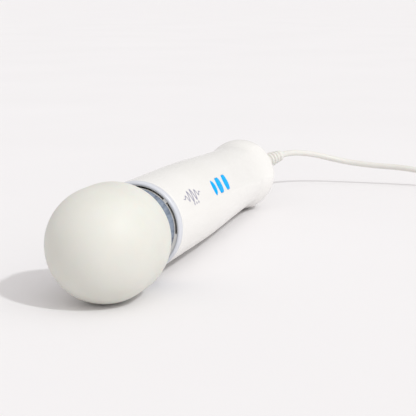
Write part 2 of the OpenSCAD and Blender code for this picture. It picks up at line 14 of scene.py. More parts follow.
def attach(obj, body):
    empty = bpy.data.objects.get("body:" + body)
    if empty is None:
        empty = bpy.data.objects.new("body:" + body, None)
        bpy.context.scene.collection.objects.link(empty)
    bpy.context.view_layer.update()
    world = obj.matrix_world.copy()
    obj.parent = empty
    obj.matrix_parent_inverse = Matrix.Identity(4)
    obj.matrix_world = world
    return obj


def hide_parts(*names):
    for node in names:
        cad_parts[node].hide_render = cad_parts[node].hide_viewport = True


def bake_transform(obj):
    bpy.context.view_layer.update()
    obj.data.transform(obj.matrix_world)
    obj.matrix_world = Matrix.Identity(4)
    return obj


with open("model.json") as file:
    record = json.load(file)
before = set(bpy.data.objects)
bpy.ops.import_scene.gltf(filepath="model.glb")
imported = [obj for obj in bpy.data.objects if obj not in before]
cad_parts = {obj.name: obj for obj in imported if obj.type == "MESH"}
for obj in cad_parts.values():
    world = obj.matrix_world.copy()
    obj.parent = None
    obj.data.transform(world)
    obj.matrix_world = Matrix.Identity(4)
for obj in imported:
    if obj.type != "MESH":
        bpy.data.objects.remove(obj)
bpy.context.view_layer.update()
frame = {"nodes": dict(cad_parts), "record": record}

MM = 0.001

# ---- Sizes, the same as in the CAD source --------------------------------------------------------

HEAD_R = 32
HEAD_BAND = 12
COVER_WALL = 2.5
NECK_R = 22.5
NECK_GAP = 48.5
BOOT_WALL = 2.5
BOOT_WAIST = 0.8
BOOT_FROM = 31.1
BOOT_TO = 59.9
GRIP_R = 27
GRIP_END = 118
WAIST_R = 23.9
WAIST_X = 255
BULB_R = 26.7
BULB_X = 279
TAIL_X = 300
TAIL_ROUND = 23
TAIL_WALL = 4
SHELL_WALL = 2.4
SHELL_X = 53
COLLAR_WALL = 1.9
COLLAR_ROUND = 1.6
TONGUE_LEN = 7
TONGUE_WALL = 0.9
VENT_X = 49
VENT_LEN = 3
VENT_RADII = [22.9, 23.3, 24.6, 25.0]
FIRST_SLOT = -12
SLOT_SWEEP = 46
SLOT_RIB = 6
SLOT_COUNT = 4
FACET_START = 130
FACET_SLOPE = math.radians(3.07)
FACET_LEN = 108
SCOOP_R = 200
BUTTON_HALF = 5.2
BUTTON_PROUD = 0.4
BUTTONS = {
    "faster": (128.1, 6.4, 2.8, 3.6),
    "power": (141.1, 10.2, 1.5, 2.6),
    "slower": (158.3, 9.4, 0.9, 2.4),
}
SHELL_SCREWS = [(190, 15), (190, -15), (255, 14), (255, -14)]
CORD_D = 5
CORD_R = CORD_D / 2
RELIEF_NECK_R = 5.5
RELIEF_FLANGE_R = 8
RELIEF_BASE_R = 7.2
RELIEF_TIP_R = 3.2
COIL_COLUMNS = 5
COIL_TOP_COLUMNS = 4
COIL_HOLE_R = 17.5
COIL_CENTRE = (78, -182)
PLUG_Y = -219
PLUG_Z = 8
PLUG_NECK_X = 34

# ---- Sizes of what is drawn only here, in the same millimetres -----------------------------------

BOOT_FLARE = 0.8
BUTTON_GAP = 0.15
RELIEF_RIBS = 14
COIL_STEPS = 20
BOSS_R = 3.4
WELL_R = 2.8
WELL_TOP_Z = -12
SCREW_HOLE_R = 1.5

# ---- Places worked out from the sizes ------------------------------------------------------------

OPENING_R = NECK_R + 0.3
LIP_X = HEAD_BAND + math.sqrt(HEAD_R**2 - OPENING_R**2)
PIVOT_X = (LIP_X + NECK_GAP) / 2
TILT = math.asin((HEAD_R - BULB_R) / BULB_X)
ROLL = math.radians(61.4)
TAIL_FLAT_R = BULB_R * math.sqrt(1 - ((TAIL_X - BULB_X) / TAIL_ROUND) ** 2)
MID_X = (TAIL_X * math.cos(TILT) + TAIL_FLAT_R * math.sin(TILT) - HEAD_R) / 2
EXIT_X = TAIL_X * math.cos(TILT) - MID_X
EXIT_Z = HEAD_R - TAIL_X * math.sin(TILT)
TURN = 2 * math.pi

ROW = Matrix.Scale(MM, 4)
WAND = (
    ROW
    @ Matrix.Translation((-MID_X, 0, HEAD_R))
    @ Matrix.Rotation(TILT, 4, "Y")
    @ Matrix.Rotation(ROLL, 4, "X")
)

# ---- Camera --------------------------------------------------------------------------------------


def make_camera():
    """Low three-quarter view from in front of the head"""
    data = bpy.data.cameras.new("camera")
    data.sensor_width = 36
    data.lens = 95.2
    data.clip_end = 100
    camera = bpy.data.objects.new("camera", data)
    camera.location = (-0.6675, -0.2175, 0.1630)
    ahead = Vector((0.9405, 0.2816, -0.1904))
    camera.rotation_euler = ahead.to_track_quat("-Z", "Y").to_euler()
    bpy.context.scene.collection.objects.link(camera)
    bpy.context.scene.camera = camera


# ---- Mesh and curve tools ------------------------------------------------------------------------


def ease(u):
    """Slow start and slow end, from 0 to 1"""
    return (1 - math.cos(math.pi * u)) / 2


def mix(a, b, u):
    return a + (b - a) * u


def around(x, radius, angle):
    """Place on the wand at an angle about its axis, right-handed from the buttons"""
    return (x, -radius * math.sin(angle), radius * math.cos(angle))


def solid(name, points, faces, space=WAND, smooth=35):
    """Mesh object from points in millimetres, with normals outwards and edges sharp past an angle"""
    mesh = bpy.data.meshes.new(name)
    mesh.from_pydata([space @ Vector(p) for p in points], [], faces)
    work = bmesh.new()
    work.from_mesh(mesh)
    bmesh.ops.remove_doubles(work, verts=work.verts, dist=2e-6)
    bmesh.ops.dissolve_degenerate(work, edges=work.edges, dist=1e-6)
    bmesh.ops.recalc_face_normals(work, faces=work.faces)
    work.to_mesh(mesh)
    work.free()
    mesh.shade_smooth()
    mesh.set_sharp_from_angle(angle=math.radians(smooth))
    obj = bpy.data.objects.new(name, mesh)
    bpy.context.scene.collection.objects.link(obj)
    return obj


def loft(name, rings, closed_rows=False, caps=False, space=WAND, smooth=35):
    """Surface through rings of points, each ring closed; caps close the first and the last ring"""
    rows, count = len(rings), len(rings[0])
    faces = []
    for i in range(rows if closed_rows else rows - 1):
        j = (i + 1) % rows
        for k in range(count):
            n = (k + 1) % count
            faces.append((i * count + k, i * count + n, j * count + n, j * count + k))
    if caps:
        faces.append(tuple(range(count)))
        faces.append(tuple((rows - 1) * count + k for k in range(count)))
    return solid(name, [p for ring in rings for p in ring], faces, space, smooth)


def turned(name, profile, sides=144, smooth=35):
    """Piece of revolution about the wand's axis, from a closed profile of (x, radius)"""
    rings = [[around(x, r, TURN * k / sides) for x, r in profile] for k in range(sides)]
    return loft(name, rings, closed_rows=True, smooth=smooth)


def carve(obj, tool, operation="DIFFERENCE", smooth=35):
    """Cut a tool away from a piece, or join it on, and drop the tool"""
    step = obj.modifiers.new("carve", "BOOLEAN")
    step.operation = operation
    step.solver = "EXACT"
    step.object = tool
    shape = obj.evaluated_get(bpy.context.evaluated_depsgraph_get())
    mesh = bpy.data.meshes.new_from_object(shape)
    obj.modifiers.clear()
    obj.data = mesh
    mesh.shade_smooth()
    mesh.set_sharp_from_angle(angle=math.radians(smooth))
    bpy.data.objects.remove(tool)


def curve_through(points):
    """Bezier spline data through points: each point with the handles of a smooth curve"""
    knots = [Vector(p) for p in points]
    before = [2 * knots[0] - knots[1]] + knots[:-1]
    after = knots[1:] + [2 * knots[-1] - knots[-2]]
    return [(p, p - (b - a) / 6, p + (b - a) / 6) for a, p, b in zip(before, knots, after)]


def along_curve(points, steps):
    """Points along the same smooth curve, a number of steps from each knot to the next"""
    knots = curve_through(points)
    line = []
    for (p, _, out), (q, back, _) in zip(knots, knots[1:]):
        for k in range(steps):
            t = k / steps
            s = 1 - t
            line.append(s**3 * p + 3 * s * s * t * out + 3 * s * t * t * back + t**3 * q)
    return line + [knots[-1][0]]


def swept(name, line, radii, sides=32, smooth=50):
    """Round piece along a line of points in the frame's millimetres, with a radius at each"""
    rings = []
    for i, p in enumerate(line):
        ahead = (line[min(i + 1, len(line) - 1)] - line[max(i - 1, 0)]).normalized()
        side = Vector((0, 0, 1)).cross(ahead).normalized()
        up = ahead.cross(side)
        turns = [TURN * k / sides for k in range(sides)]
        rings.append([p + radii[i] * (math.cos(a) * side + math.sin(a) * up) for a in turns])
    return loft(name, rings, caps=True, space=ROW, smooth=smooth)


# ---- Materials -----------------------------------------------------------------------------------


def srgb(red, green, blue):
    """Linear colour from screen values of 0 to 255"""
    values = [v / 255 for v in (red, green, blue)]
    return [v / 12.92 if v <= 0.04045 else ((v + 0.055) / 1.055) ** 2.4 for v in values] + [1]


def texture(tree, kind, scale, stretch=(1, 1, 1), **settings):
    """Texture node over the piece's own coordinates, with a number of features per metre"""
    place = tree.nodes.new("ShaderNodeTexCoord")
    mapping = tree.nodes.new("ShaderNodeMapping")
    mapping.inputs["Scale"].default_value = [scale * s for s in stretch]
    node = tree.nodes.new(kind)
    node.inputs["Scale"].default_value = 1
    for key, value in settings.items():
        if hasattr(node, key):
            setattr(node, key, value)
        else:
            node.inputs[key.replace("_", " ").title()].default_value = value
    tree.links.new(place.outputs["Object"], mapping.inputs["Vector"])
    tree.links.new(mapping.outputs["Vector"], node.inputs["Vector"])
    return node


def spread(tree, source, low, high):
    """Texture value between two numbers"""
    node = tree.nodes.new("ShaderNodeMapRange")
    node.inputs["From Min"].default_value = 0.3
    node.inputs["From Max"].default_value = 0.7
    node.inputs["To Min"].default_value = low
    node.inputs["To Max"].default_value = high
    tree.links.new(source, node.inputs["Value"])
    return node.outputs["Result"]


def surface(name, tones, rough, patches, grains, stretch=(1, 1, 1), pattern=None, **constants):
    """Material with mottled tones, uneven roughness and layers of fine relief.

    tones are colours that a texture with so many patches per metre runs through; grains are
    (features per metre, height in millimetres) of each layer of relief; pattern replaces the
    noise behind the tones with another texture, such as wound wire or copper tracks.
    """
    material = bpy.data.materials.new(name)
    material.use_nodes = True
    tree = material.node_tree
    shader = tree.nodes["Principled BSDF"]
    for socket, value in constants.items():
        shader.inputs[socket.replace("_", " ")].default_value = value
    if pattern:
        kind, settings = pattern
        tone = texture(tree, kind, patches, stretch, **settings)
    else:
        tone = texture(tree, "ShaderNodeTexNoise", patches, stretch, detail=4.0)
    value = tone.outputs[0]
    ramp = tree.nodes.new("ShaderNodeValToRGB")
    while len(ramp.color_ramp.elements) < len(tones):
        ramp.color_ramp.elements.new(0.5)
    for k, (element, colour) in enumerate(zip(ramp.color_ramp.elements, tones)):
        element.position = mix(0.3, 0.7, k / (len(tones) - 1))
        element.color = srgb(*colour)
    tree.links.new(value, ramp.inputs["Fac"])
    tree.links.new(ramp.outputs["Color"], shader.inputs["Base Color"])
    normal = None
    for scale, height in grains:
        grain = texture(tree, "ShaderNodeTexNoise", scale, stretch, detail=2.0)
        bump = tree.nodes.new("ShaderNodeBump")
        bump.inputs["Distance"].default_value = height * MM
        tree.links.new(grain.outputs[0], bump.inputs["Height"])
        if normal:
            tree.links.new(normal, bump.inputs["Normal"])
        normal = bump.outputs["Normal"]
    tree.links.new(spread(tree, grain.outputs[0], *rough), shader.inputs["Roughness"])
    if pattern:
        bump = tree.nodes.new("ShaderNodeBump")
        bump.inputs["Distance"].default_value = 0.15 * MM
        tree.links.new(value, bump.inputs["Height"])
        tree.links.new(normal, bump.inputs["Normal"])
        normal = bump.outputs["Normal"]
    tree.links.new(normal, shader.inputs["Normal"])
    return material


MATERIALS = {
    "silicone_cover": surface(
        "silicone_cover", [(216, 215, 207), (222, 221, 214)], (0.42, 0.56), 35,
        [(260, 0.02), (2400, 0.006)], Subsurface_Weight=0.12, Subsurface_Scale=0.004,
        Specular_IOR_Level=0.4),
    "neck_rubber": surface(
        "neck_rubber", [(98, 107, 123), (132, 143, 160), (112, 122, 138)], (0.2, 0.42), 420,
        [(700, 0.015), (2600, 0.006)], (0.05, 1, 1), Specular_IOR_Level=0.6, Coat_Weight=0.2),
    "shell_plastic": surface(
        "shell_plastic", [(230, 228, 224), (235, 233, 230)], (0.2, 0.32), 22,
        [(180, 0.012), (3200, 0.003)], Coat_Weight=0.25, Coat_Roughness=0.12),
    "collar_plastic": surface(
        "collar_plastic", [(204, 206, 213), (214, 216, 222)], (0.3, 0.42), 90,
        [(500, 0.006), (2600, 0.003)], Coat_Weight=0.1, Coat_Roughness=0.2),
    "button_plastic": surface(
        "button_plastic", [(0, 166, 240), (2, 175, 246)], (0.25, 0.4), 260,
        [(600, 0.006), (3200, 0.003)], Specular_IOR_Level=0.02),
    "inner_plastic": surface(
        "inner_plastic", [(205, 204, 200), (222, 221, 217)], (0.4, 0.6), 60,
        [(500, 0.02), (2200, 0.01)]),
    "dark_plastic": surface(
        "dark_plastic", [(20, 20, 22), (34, 34, 37)], (0.4, 0.65), 80,
        [(600, 0.02), (2400, 0.01)]),
    "mount_rubber": surface(
        "mount_rubber", [(8, 8, 9), (18, 18, 20)], (0.6, 0.85), 120,
        [(700, 0.04), (2000, 0.02)]),
    "bright_steel": surface(
        "bright_steel", [(176, 177, 180), (205, 206, 208)], (0.16, 0.34), 300,
        [(900, 0.006), (3000, 0.004)], (0.15, 1, 1), Metallic=1.0),
    "motor_steel": surface(
        "motor_steel", [(138, 141, 146), (172, 175, 178)], (0.28, 0.46), 160,
        [(500, 0.01), (2600, 0.005)], (1, 0.2, 0.2), Metallic=1.0),
    "copper_winding": surface(
        "copper_winding", [(92, 38, 16), (196, 108, 56), (214, 134, 78)], (0.2, 0.36), 1400,
        [(900, 0.01), (2600, 0.005)], Metallic=1.0,
        pattern=("ShaderNodeTexWave", {"bands_direction": "Y", "distortion": 0.6})),
    "weight_brass": surface(
        "weight_brass", [(166, 136, 78), (196, 166, 104)], (0.2, 0.36), 220,
        [(800, 0.008), (2600, 0.004)], (1, 0.2, 0.2), Metallic=1.0),
    "magnet": surface(
        "magnet", [(50, 50, 53), (74, 74, 78)], (0.45, 0.65), 400,
        [(900, 0.03), (2600, 0.015)], Metallic=0.6),
    "board": surface(
        "board", [(12, 62, 34), (16, 84, 46), (40, 122, 70)], (0.22, 0.4), 260,
        [(900, 0.008), (2600, 0.004)],
        pattern=("ShaderNodeTexVoronoi", {"distance": "MANHATTAN"})),
    "components": surface(
        "components", [(24, 24, 27), (58, 58, 64), (150, 142, 120)], (0.3, 0.5), 190,
        [(700, 0.01), (2400, 0.006)]),
    "cord_vinyl": surface(
        "cord_vinyl", [(219, 217, 211), (226, 224, 219)], (0.36, 0.5), 70,
        [(220, 0.02), (1900, 0.008)], Subsurface_Weight=0.05, Subsurface_Scale=0.001),
    "wire_brown": surface(
        "wire_brown", [(98, 58, 34), (126, 78, 48)], (0.35, 0.5), 150,
        [(600, 0.01), (2400, 0.006)]),
    "blade_metal": surface(
        "blade_metal", [(196, 186, 158), (216, 208, 184)], (0.18, 0.34), 260,
        [(900, 0.008), (3000, 0.004)], (0.2, 1, 1), Metallic=1.0),
    "ink": surface(
        "ink", [(132, 130, 152), (148, 146, 168)], (0.3, 0.45), 600,
        [(1500, 0.004), (3600, 0.002)]),
}


def dress(obj, slot, body, *nodes):
    """Give a piece its finish, the body it moves with and the CAD nodes it stands for"""
    obj.data.materials.clear()
    obj.data.materials.append(MATERIALS[slot])
    if body:
        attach(obj, body)
    if nodes:
        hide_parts(*nodes)
    return obj


# ---- Lead, strain relief and plug ----------------------------------------------------------------

RELIEF_ROUTE = [(0, 0, EXIT_Z), (15, 0, EXIT_Z), (30, -3, 27), (45, -8, 29), (60, -14, 31)]
LEAD_ROUTE = [
    (75, -20, 31), (90, -27, 29), (102, -37, 26), (110, -50, 22), (114, -65, 19), (116, -85, 17),
    (117, -105, 16), (118, -122, 14), (118, -140, 10), (118, -157, 5), (118, -170, CORD_R),
]
END_ROUTE = [(64, -218, 8), (48, PLUG_Y, PLUG_Z), (34, PLUG_Y, PLUG_Z), (31, PLUG_Y, PLUG_Z)]


def past_exit(points):
    """Points of the lead, given from the tail's end face, in the frame's millimetres"""
    return [Vector((EXIT_X + x, y, z)) for x, y, z in points]


def coil_points():
    """The wound length: the bottom layer goes inwards, the top layer outwards, clockwise from +X"""
    bottom = [COIL_HOLE_R + CORD_R + CORD_D * k for k in reversed(range(COIL_COLUMNS))]
    top = list(reversed(bottom))[:COIL_TOP_COLUMNS]
    turns = [(r, CORD_R) for r in bottom] + [(r, CORD_R + CORD_D) for r in top]
    points = []
    for i in range(round((len(turns) - 0.75) * COIL_STEPS) + 1):
        turn, part = divmod(i / COIL_STEPS, 1)
        radius, height = turns[int(turn)]
        if part > 0.8:
            next_radius, next_height = turns[int(turn) + 1]
            radius = mix(radius, next_radius, ease((part - 0.8) / 0.2))
            height = mix(height, next_height, ease((part - 0.8) / 0.2))
        angle = -TURN * part
        x = COIL_CENTRE[0] + radius * math.cos(angle)
        points.append((x, COIL_CENTRE[1] + radius * math.sin(angle), height))
    return points


def make_lead():
    """The whole lead as one curve, from the tail's end face to inside the plug"""
    line = past_exit(RELIEF_ROUTE + LEAD_ROUTE + coil_points() + END_ROUTE)
    data = bpy.data.curves.new("lead", "CURVE")
    data.dimensions = "3D"
    data.bevel_depth = CORD_R * MM
    data.bevel_resolution = 5
    data.resolution_u = 5
    data.use_fill_caps = True
    spline = data.splines.new("BEZIER")
    spline.bezier_points.add(len(line) - 1)
    for knot, (place, back, out) in zip(spline.bezier_points, curve_through(line)):
        knot.co = place * MM
        knot.handle_left = back * MM
        knot.handle_right = out * MM
    lead = bpy.data.objects.new("lead", data)
    bpy.context.scene.collection.objects.link(lead)
    dress(lead, "cord_vinyl", "handle", "power_cord", "cord_coil", "cord_end")
    reach = along_curve(line, 8)
    return lead, sum((b - a).length for a, b in zip(reach, reach[1:])) * MM


def make_relief():
    """Moulded taper with rings of ribs, and the flange that holds it inside the tail"""
    line = along_curve(past_exit(RELIEF_ROUTE), 40)
    last = len(line) - 1
    radii = []
    for i in range(last + 1):
        u = i / last
        radius = mix(RELIEF_TIP_R, RELIEF_BASE_R, math.sqrt(1 - u * u))
        wave = 0.5 - 0.5 * math.cos(TURN * RELIEF_RIBS * u)
        groove = (radius - CORD_R) * 0.8 * wave**2.5 if u < 0.95 else 0
        radii.append(radius - groove)
    ahead = Vector((math.cos(TILT), 0, -math.sin(TILT)))
    stem = [(TAIL_WALL + 3, RELIEF_FLANGE_R), (TAIL_WALL, RELIEF_FLANGE_R),
            (TAIL_WALL - 0.01, RELIEF_NECK_R), (0.01, RELIEF_NECK_R)]
    line = [line[0] - ahead * inside for inside, _ in stem] + line
    relief = swept("relief", line, [r for _, r in stem] + radii, smooth=40)
    return dress(relief, "cord_vinyl", "handle", "strain_relief")


def make_plug():
    """Moulded two-blade plug: round neck, shouldered body with finger grooves, flat face"""
    stations = [
        (0, 3.2, 3.2, 2), (2, 3.6, 3.6, 2), (6, 4.6, 4.6, 2), (9, 5.8, 5.6, 2.1),
        (11, 8.2, 6.6, 2.4), (13, 10.4, 7.4, 2.8), (15, 11.6, 7.9, 3.2), (17, 12, 8, 3.6),
    ]
    for k in range(4):
        start = 18 + 2.8 * k
        stations += [(start, 12, 8, 3.6), (start + 0.5, 11.3, 7.9, 3.6),
                     (start + 1.5, 11.3, 7.9, 3.6), (start + 2, 12, 8, 3.6)]
    stations += [(30.4, 12, 8, 3.8), (31.4, 11.8, 7.8, 3.8), (32, 11.2, 7.2, 3.8)]
    rings = []
    for back, wide, high, power in stations:
        ring = []
        for k in range(72):
            c, s = math.cos(TURN * k / 72), math.sin(TURN * k / 72)
            y = wide * math.copysign(abs(c) ** (2 / power), c)
            z = high * math.copysign(abs(s) ** (2 / power), s)
            ring.append((EXIT_X + PLUG_NECK_X - back, PLUG_Y + y, PLUG_Z + z))
        rings.append(ring)
    plug = loft("plug", rings, caps=True, space=ROW, smooth=50)
    return dress(plug, "cord_vinyl", "handle", "plug_body")


make_camera()
lead, lead_length = make_lead()
relief = make_relief()
plug = make_plug()

# ---- Head and neck -------------------------------------------------------------------------------


def ball_arc(radius, stop, steps):
    """Profile of the ball from its front pole over the band to a place on its back"""
    front = [(-radius * math.cos(a), radius * math.sin(a))
             for a in (math.pi / 2 * k / steps for k in range(steps + 1))]
    end = math.acos((stop - HEAD_BAND) / radius)
    back = [(HEAD_BAND + radius * math.cos(a), radius * math.sin(a))
            for a in (mix(math.pi / 2, end, k / steps) for k in range(steps + 1))]
    return front + back


def make_head():
    """Silicone cover, with a soft lip where the neck goes in"""
    lip = 0.7
    outer_x = HEAD_BAND + math.sqrt(HEAD_R**2 - (OPENING_R + lip) ** 2)
    inner_r = HEAD_R - COVER_WALL
    inner_x = HEAD_BAND + math.sqrt(inner_r**2 - OPENING_R**2)
    rim = [(outer_x + lip * math.sin(a) * 0.7, OPENING_R + lip * (1 - math.sin(a)))
           for a in (math.pi / 2 * k / 5 for k in range(1, 6))]
    inside = list(reversed(ball_arc(inner_r, inner_x, 20)))
    head = turned("head_skin", ball_arc(HEAD_R, outer_x, 44) + rim + inside, 160)
    return dress(head, "silicone_cover", "head", "head_cover")


def boot_r(x):
    """Outer radius of the neck: drawn in a little at its middle, flared where it meets the vents"""
    u = (x - PIVOT_X) / (NECK_GAP - PIVOT_X)
    if abs(u) > 1:
        return NECK_R
    return NECK_R - BOOT_WAIST * (1 + math.cos(math.pi * u)) / 2 + BOOT_FLARE * ease(max(0, u))


def make_neck(name, start, stop):
    """One half of the rubber neck, turned from one place along the axis to another"""
    count = round((stop - start) / 0.5)
    outer = [(x, boot_r(x)) for x in (mix(start, stop, k / count) for k in range(count + 1))]
    inner = [(x, NECK_R - BOOT_WALL) for x, _ in reversed(outer)]
    half = turned(name, outer + inner, 128)
    dress(half, "neck_rubber", None, "neck_boot")
    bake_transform(half)


make_head()
make_neck("neck_rear", PIVOT_X, BOOT_TO)
make_neck("neck_front", BOOT_FROM, PIVOT_X)

# ---- Collar and vents ----------------------------------------------------------------------------


def make_collar():
    """Rounded bead between the neck and the handle, with the tongue that seats in the shells"""
    inner_r = GRIP_R - COLLAR_WALL
    shell_in_r = GRIP_R - SHELL_WALL
    bead = [(NECK_GAP + COLLAR_ROUND * (1 - math.cos(a)),
             GRIP_R - COLLAR_ROUND * (1 - math.sin(a)))
            for a in (math.pi / 2 * k / 12 for k in range(13))]
    profile = [(VENT_X + VENT_LEN + 0.1, inner_r), (NECK_GAP + 0.4, inner_r)]
    profile += [(NECK_GAP + 0.1, inner_r + 0.1)] + bead
    profile += [(SHELL_X - 0.25, GRIP_R), (SHELL_X - 0.07, GRIP_R - 0.07), (SHELL_X, GRIP_R - 0.25)]
    profile += [(SHELL_X, shell_in_r + TONGUE_WALL), (SHELL_X + TONGUE_LEN, shell_in_r + TONGUE_WALL)]
    profile += [(SHELL_X + TONGUE_LEN, shell_in_r), (VENT_X + VENT_LEN + 0.1, shell_in_r)]
    dress(turned("collar", profile), "collar_plastic", "handle", "collar_ring")


def make_vents():
    """Ring with cooling slots on the upper side, rounded along every edge"""
    slots = [math.radians(FIRST_SLOT - k * (SLOT_SWEEP + SLOT_RIB)) for k in range(SLOT_COUNT)]
    sweep = math.radians(SLOT_SWEEP)
    edges = sorted({round(a % TURN, 6) for s in slots for a in (s, s + sweep)}
                   | {round(TURN * k / 120, 6) for k in range(120)})
    count, across = len(edges), len(VENT_RADII)
    points = [around(VENT_X, r, a) for a in edges for r in VENT_RADII]
    faces = []
    for i, angle in enumerate(edges):
        width = (edges[(i + 1) % count] - angle) % TURN
        middle = angle + width / 2
        open_here = any((middle - s) % TURN < sweep for s in slots)
        for band in range(across - 1):
            if band == 1 and open_here:
                continue
            a, b = i * across + band, (i + 1) % count * across + band
            faces.append((a, a + 1, b + 1, b))
    ring = solid("vents", points, faces)
    thick = ring.modifiers.new("thick", "SOLIDIFY")
    thick.thickness = VENT_LEN * MM
    thick.offset = -1
    soft = ring.modifiers.new("soft", "BEVEL")
    soft.width = 0.1 * MM
    soft.segments = 2
    soft.limit_method = "ANGLE"
    dress(ring, "shell_plastic", "handle", "vent_ring")


def make_slot_shade_ring():
    """Thin dark ring behind the slots: painted shade, so that the slots read black"""
    inner, outer = NECK_R + 0.5, GRIP_R - SHELL_WALL - 0.05
    front = VENT_X + VENT_LEN + 0.15
    back = front + 0.8
    profile = [(front, inner), (front, outer), (back, outer), (back, inner)]
    dress(turned("slot_shade_ring", profile), "mount_rubber", "handle")


# ---- Handle --------------------------------------------------------------------------------------


def handle_r(x):
    """Radius of the handle: straight grip, then in to the waist and out to the bulb"""
    if x <= GRIP_END:
        return GRIP_R
    if x <= WAIST_X:
        return mix(GRIP_R, WAIST_R, ease((x - GRIP_END) / (WAIST_X - GRIP_END)))
    return mix(WAIST_R, BULB_R, ease((x - WAIST_X) / (BULB_X - WAIST_X)))


def facet_height(x):
    """Height above the axis of the flat on the buttons' side, and of the scoop at its end"""
    along = (x - FACET_START) / math.cos(FACET_SLOPE)
    past = max(0, along - FACET_LEN)
    rise = SCOOP_R - math.sqrt(SCOOP_R**2 - past**2)
    return GRIP_R - along * math.sin(FACET_SLOPE) + rise * math.cos(FACET_SLOPE)


def softer_of(a, b, blend):
    """The smaller of two numbers, rounded off where they are near each other"""
    near = max(blend - abs(a - b), 0) / blend
    return min(a, b) - near * near * blend / 4


def shell_profile():
    """Closed profile of the shells: (x, radius, depth below the skin)"""
    edge = 0.3
    profile = [(SHELL_X, GRIP_R - edge, edge), (SHELL_X + 0.09, GRIP_R - 0.09, 0.09),
               (SHELL_X + edge, GRIP_R, 0)]
    stations = [mix(SHELL_X + edge, BULB_X, k / 90) for k in range(1, 91)]
    profile += [(x, handle_r(x), 0) for x in stations]
    stop = math.asin((TAIL_X - BULB_X) / TAIL_ROUND)
    profile += [(BULB_X + TAIL_ROUND * math.sin(a), BULB_R * math.cos(a), 0)
                for a in (stop * k / 20 for k in range(1, 20))]
    hole = RELIEF_NECK_R + 0.1
    profile += [(TAIL_X - 0.25, TAIL_FLAT_R + 0.25, 0), (TAIL_X - 0.05, TAIL_FLAT_R - 0.15, 0),
                (TAIL_X, TAIL_FLAT_R - 0.7, 0), (TAIL_X, hole + 0.3, 0),
                (TAIL_X - 0.3, hole, 0), (TAIL_X - TAIL_WALL, hole, 0)]
    inner_stop = math.asin((TAIL_X - TAIL_WALL - BULB_X) / TAIL_ROUND)
    profile += [(BULB_X + TAIL_ROUND * math.sin(a), BULB_R * math.cos(a) - SHELL_WALL, SHELL_WALL)
                for a in (inner_stop * k / 8 for k in range(8, 0, -1))]
    tongue = SHELL_X + TONGUE_LEN + 0.1
    seat_r = GRIP_R - SHELL_WALL + TONGUE_WALL + 0.1
    profile += [(x, handle_r(x) - SHELL_WALL, SHELL_WALL)
                for x in (mix(BULB_X, tongue, k / 40) for k in range(41))]
    profile += [(tongue, seat_r, 0), (SHELL_X, seat_r, 0)]
    return profile


def shell_point(x, radius, depth, angle):
    """Place on a shell, held under the facet on the buttons' side"""
    if math.cos(angle) > 0.3:
        radius = softer_of(radius, (facet_height(x) - depth) / math.cos(angle), 0.2)
    return around(x, radius, angle)


def seam_drop(distance, radius):
    """How far the skin is rounded off at a distance from the seam between the shells"""
    inside = max(radius - distance, 0)
    return radius - math.sqrt(radius**2 - inside**2)


def make_shell(name, start):
    """One half of the handle, a closed solid that goes half way round from an angle"""
    seam_r = 0.35
    near = [0, 0.2, 0.45, 0.75, 1.2]
    angles = near + [2.4 * k for k in range(1, 75)] + [180 - a for a in reversed(near)]
    profile = shell_profile()
    rings = []
    for degrees in angles:
        ring = []
        for x, radius, depth in profile:
            if depth < SHELL_WALL and radius > TAIL_FLAT_R:
                arc = math.radians(min(degrees, 180 - degrees)) * radius
                radius -= seam_drop(arc, seam_r)
            ring.append(shell_point(x, radius, depth, start + math.radians(degrees)))
        rings.append(ring)
    return loft(name, rings, caps=True, smooth=30)


def button_outline(at, margin, inset=0, count=44):
    """Outline of a button between its two bowed edges, with its corners rounded, in (x, across).

    margin moves the edges outwards, and inset draws the finished outline in towards its middle.
    """
    middle, length, front_bow, back_bow = at
    half = BUTTON_HALF + margin
    length += 2 * margin
    front_r = (half**2 + front_bow**2) / (2 * front_bow)
    back_r = (half**2 + back_bow**2) / (2 * back_bow)
    across = [half * math.sin(math.pi * (k / count - 0.5)) for k in range(count + 1)]
    front = [(-length / 2 + front_r - math.sqrt(front_r**2 - y * y), y) for y in across]
    back = [(length / 2 - back_r + math.sqrt(back_r**2 - y * y), y) for y in reversed(across)]
    corners = front + back
    lengths = [math.dist(a, b) for a, b in zip(corners, corners[1:] + corners[:1])]
    total = sum(lengths)
    points = []
    samples = 160
    for k in range(samples):
        want = total * k / samples
        i = 0
        while want > lengths[i]:
            want -= lengths[i]
            i += 1
        u = want / lengths[i] if lengths[i] else 0
        a, b = corners[i], corners[(i + 1) % len(corners)]
        points.append((mix(a[0], b[0], u), mix(a[1], b[1], u)))
    window = range(-3, 4)
    smooth = [(sum(points[(k + w) % samples][0] for w in window) / len(window),
               sum(points[(k + w) % samples][1] for w in window) / len(window))
              for k in range(samples)]
    along, aside = 1 - 2 * inset / at[1], 1 - inset / BUTTON_HALF
    return [(middle + x * along, y * aside) for x, y in smooth]


def skin_z(x, y):
    """Height of the handle's skin above the axis, on the buttons' side"""
    return softer_of(math.sqrt(handle_r(x) ** 2 - y * y), facet_height(x), 0.2)


def make_button(name, at):
    """Crowned push button with a rounded edge and a plain lower part inside its opening"""
    edge = 0.55
    insets = [0, 0, 0.03, 0.12, 0.28, edge]
    drops = [3.4, edge, edge - 0.22, edge - 0.4, edge - 0.5, edge - 0.55]
    core = at[1] / 2 - 0.35
    for k in range(1, 7):
        insets.append(mix(edge, core, k / 6))
        drops.append(-0.12 * math.sin(math.pi / 2 * k / 6))
    rings = []
    for inset, drop in zip(insets, drops):
        outline = button_outline(at, 0, inset)
        rings.append([(x, y, skin_z(x, y) + BUTTON_PROUD - drop) for x, y in outline])
    button = loft("cap_" + name, rings, caps=True, smooth=60)
    dress(button, "button_plastic", name + "_button", "button_" + name)


